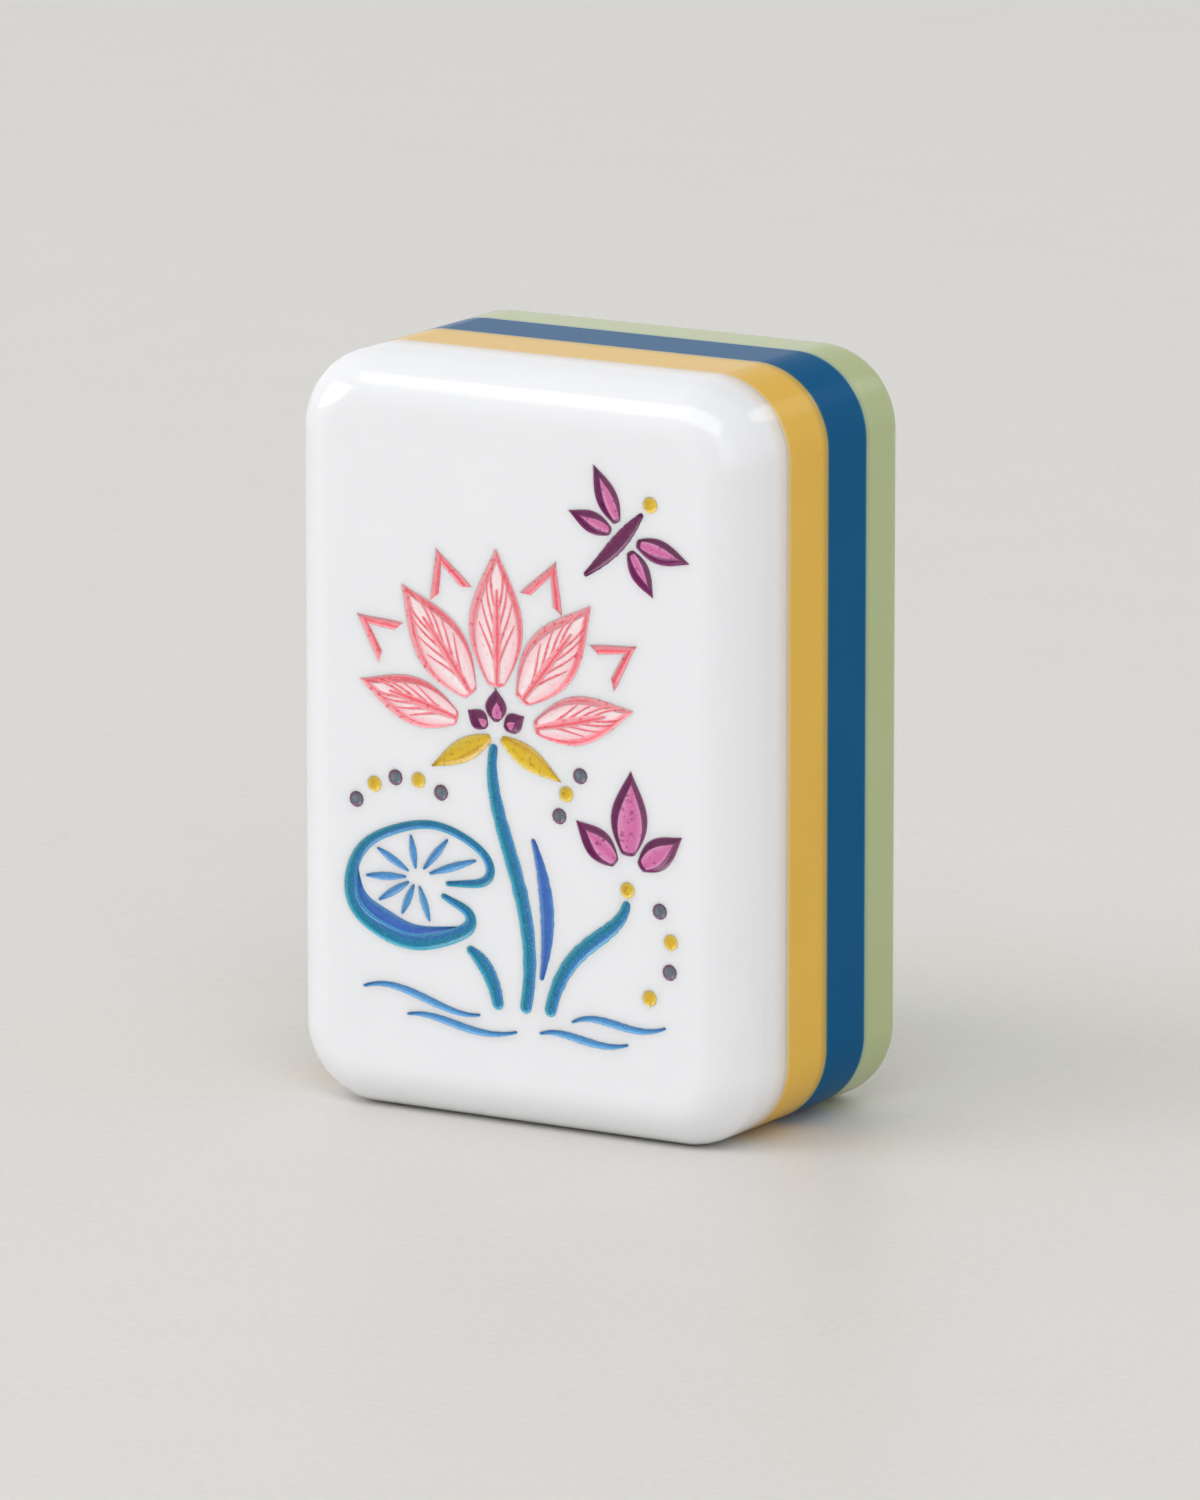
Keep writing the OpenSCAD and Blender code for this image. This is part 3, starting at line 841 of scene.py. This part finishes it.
# Rose fill of the heart, the bud and the wings
bud_fill_enamel = paint(
    "bud_fill_enamel", [petal_stroke(inner_petal(p, bud_line)) for p in small_petals], wash_levels)
bud_fill_enamel.data.materials.append(enamel(
    "rose_enamel", core="#cf6aa2", rim="#d98fba", lean="#d980b0", lean_range=(0.4, 1.2),
    speck="#8a2f68", speck_share=0.8, speck_size=0.18 * mm))
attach(bud_fill_enamel, "root")
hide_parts("bud_fill_paint")

# Plum outlines of the heart, the bud and the wings, and the dragonfly's body
bud_outline_enamel = join("bud_outline_enamel", [
    paint("fly_body", [body_stroke], line_levels),
    stack("bud_trays", [tray(p, bud_line) for p in small_petals])])
polish(bud_outline_enamel)
bud_outline_enamel.data.materials.append(enamel(
    "plum_enamel", core="#6b1f52", rim="#8d3c74", lean="#4b1a45", lean_range=(0.4, 1.3),
    speck="#3d1035", speck_share=0.5, speck_size=0.15 * mm))
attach(bud_outline_enamel, "root")
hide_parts("bud_outline_paint")

# Gold sepals and beads
sepal_enamel = paint("sepal_enamel", [petal_stroke(p) for p in sepals] + gold_beads, line_levels)
sepal_enamel.data.materials.append(enamel(
    "gold_enamel", core="#d9b526", rim="#e8cf6a", lean="#c9951f", lean_range=(0.5, 1.4),
    speck="#a8791c", speck_share=0.6, speck_size=0.15 * mm))
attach(sepal_enamel, "root")
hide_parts("sepal_paint")

# Slate beads with a plum rim
bead_enamel = paint("bead_enamel", slate_beads, line_levels)
bead_enamel.data.materials.append(enamel(
    "slate_enamel", core="#5d6f78", rim="#7a2f5e", lean="#83959a", lean_range=(0.5, 1.4),
    speck="#3b4a52", speck_share=0.5, speck_size=0.12 * mm))
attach(bead_enamel, "root")
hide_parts("bead_paint")

# Floor
# A sheet of board under a matt coat of pale grey paint, with a fine grain and faint clouds. It is
# large enough to fill every view, and the tile stands on it.
floor_size = 8.0
floor_speck_size = 0.4 * mm
floor_cloud_size = 6.0 * mm
floor_dark = "#cfcdc8"
floor_light = "#e6e4df"
floor_even = "#dedcd8"
floor_roughness = 0.45
floor_shine = 0.25
bpy.ops.object.select_all(action="DESELECT")
bpy.ops.mesh.primitive_plane_add(size=floor_size, location=(0, 0, cad_low.z))
floor = bpy.context.object
floor.name = "floor"
bpy.ops.object.transform_apply(location=True, rotation=True, scale=True)
board = bpy.data.materials.new("pale_painted_board")
board.use_nodes = True
board_tree = board.node_tree
board_shader = board_tree.nodes["Principled BSDF"]
board_place = add_node(board_tree, "ShaderNodeTexCoord").outputs["Object"]
board_specks = add_node(board_tree, "ShaderNodeTexNoise", {
    "Vector": board_place, "Scale": 1 / floor_speck_size, "Detail": 3})
board_clouds = add_node(board_tree, "ShaderNodeTexNoise", {
    "Vector": board_place, "Scale": 1 / floor_cloud_size, "Detail": 2})
board_mix = add_node(board_tree, "ShaderNodeMix", {
    mix_share: board_specks.outputs["Fac"], mix_a: linear(floor_dark), mix_b: linear(floor_light)},
    data_type="RGBA")
board_mix = add_node(board_tree, "ShaderNodeMix", {
    mix_share: board_clouds.outputs["Fac"], mix_a: board_mix.outputs[mix_out], mix_b: linear(floor_even)},
    data_type="RGBA")
board_tree.links.new(board_mix.outputs[mix_out], board_shader.inputs["Base Color"])
board_shader.inputs["Roughness"].default_value = floor_roughness
board_shader.inputs["Specular IOR Level"].default_value = floor_shine
floor.data.materials.append(board)

# Light
# A room that is pale at both sides and behind, and dim in front and overhead. Its lamps are a wide
# softbox high in front, a low panel on the left and one on the right, and a small lamp behind.
room_sides = 0.7
room_behind = 0.54
room_overhead = 0.1
scene = bpy.context.scene
scene.view_settings.view_transform = "Standard"
room = bpy.data.worlds.new("pale_room")
room.use_nodes = True
room_tree = room.node_tree
room_way = add_node(room_tree, "ShaderNodeTexCoord").outputs["Generated"]
room_parts = add_node(room_tree, "ShaderNodeSeparateXYZ", {"Vector": room_way})
sideways = add_node(room_tree, "ShaderNodeMath", {0: room_parts.outputs["X"]}, operation="ABSOLUTE")
room_light = add_node(room_tree, "ShaderNodeMath", {
    0: sideways.outputs["Value"], 1: room_sides, 2: room_overhead}, operation="MULTIPLY_ADD")
behind = add_node(room_tree, "ShaderNodeMath", {0: room_parts.outputs["Y"], 1: 0}, operation="MAXIMUM")
room_light = add_node(room_tree, "ShaderNodeMath", {
    0: behind.outputs["Value"], 1: room_behind, 2: room_light.outputs["Value"]}, operation="MULTIPLY_ADD")
room_tree.links.new(room_light.outputs["Value"], room_tree.nodes["Background"].inputs["Color"])
scene.world = room
tile_middle = (cad_low + cad_high) / 2


def panel(name, direction, distance, size, radiance):
    """A flat lamp that faces the tile, as bright as a surface of that radiance."""
    lamp = bpy.data.lights.new(name, "AREA")
    lamp.shape = "RECTANGLE"
    lamp.size, lamp.size_y = size
    lamp.energy = radiance * math.pi * size[0] * size[1]
    holder = bpy.data.objects.new(name, lamp)
    scene.collection.objects.link(holder)
    way = Vector(direction).normalized()
    holder.location = tile_middle + way * distance
    holder.rotation_euler = way.to_track_quat("Z", "Y").to_euler()


panel("softbox", direction=(0.02, -0.62, 0.79), distance=2.4, size=(3.2, 1.44), radiance=2.45)
panel("left_panel", direction=(-0.82, -0.51, 0.26), distance=1.4, size=(0.9, 0.6), radiance=2.65)
panel("front_panel", direction=(0.74, -0.64, 0.2), distance=1.4, size=(0.9, 0.9), radiance=1.05)
panel("rear_lamp", direction=(0.3, 0.85, 0.43), distance=1.2, size=(0.24, 0.24), radiance=1.3)

# Camera
# A long lens a little above the tile and to its right, so that the face and the edges of all four
# layers show. The aim sits just under the tile's middle.
camera_azimuth = math.radians(31.4)
camera_elevation = math.radians(11.64)
camera_distance = 0.528
pixels_per_metre = 25630
image_tall = 1500
aim_right = 0.18 * mm
aim_down = 0.96 * mm
camera_data = bpy.data.cameras.new("camera")
camera = bpy.data.objects.new("camera", camera_data)
scene.collection.objects.link(camera)
back = Vector((
    math.sin(camera_azimuth) * math.cos(camera_elevation),
    -math.cos(camera_azimuth) * math.cos(camera_elevation),
    math.sin(camera_elevation)))
right = Vector((math.cos(camera_azimuth), math.sin(camera_azimuth), 0))
up = back.cross(right)
camera.location = tile_middle + back * camera_distance
aim = tile_middle + right * aim_right - up * aim_down
camera.rotation_euler = (camera.location - aim).to_track_quat("Z", "Y").to_euler()
camera_data.sensor_width = 36
camera_data.lens = pixels_per_metre * camera_distance * camera_data.sensor_width / image_tall
camera_data.clip_start = 0.01
camera_data.clip_end = 20
scene.camera = camera
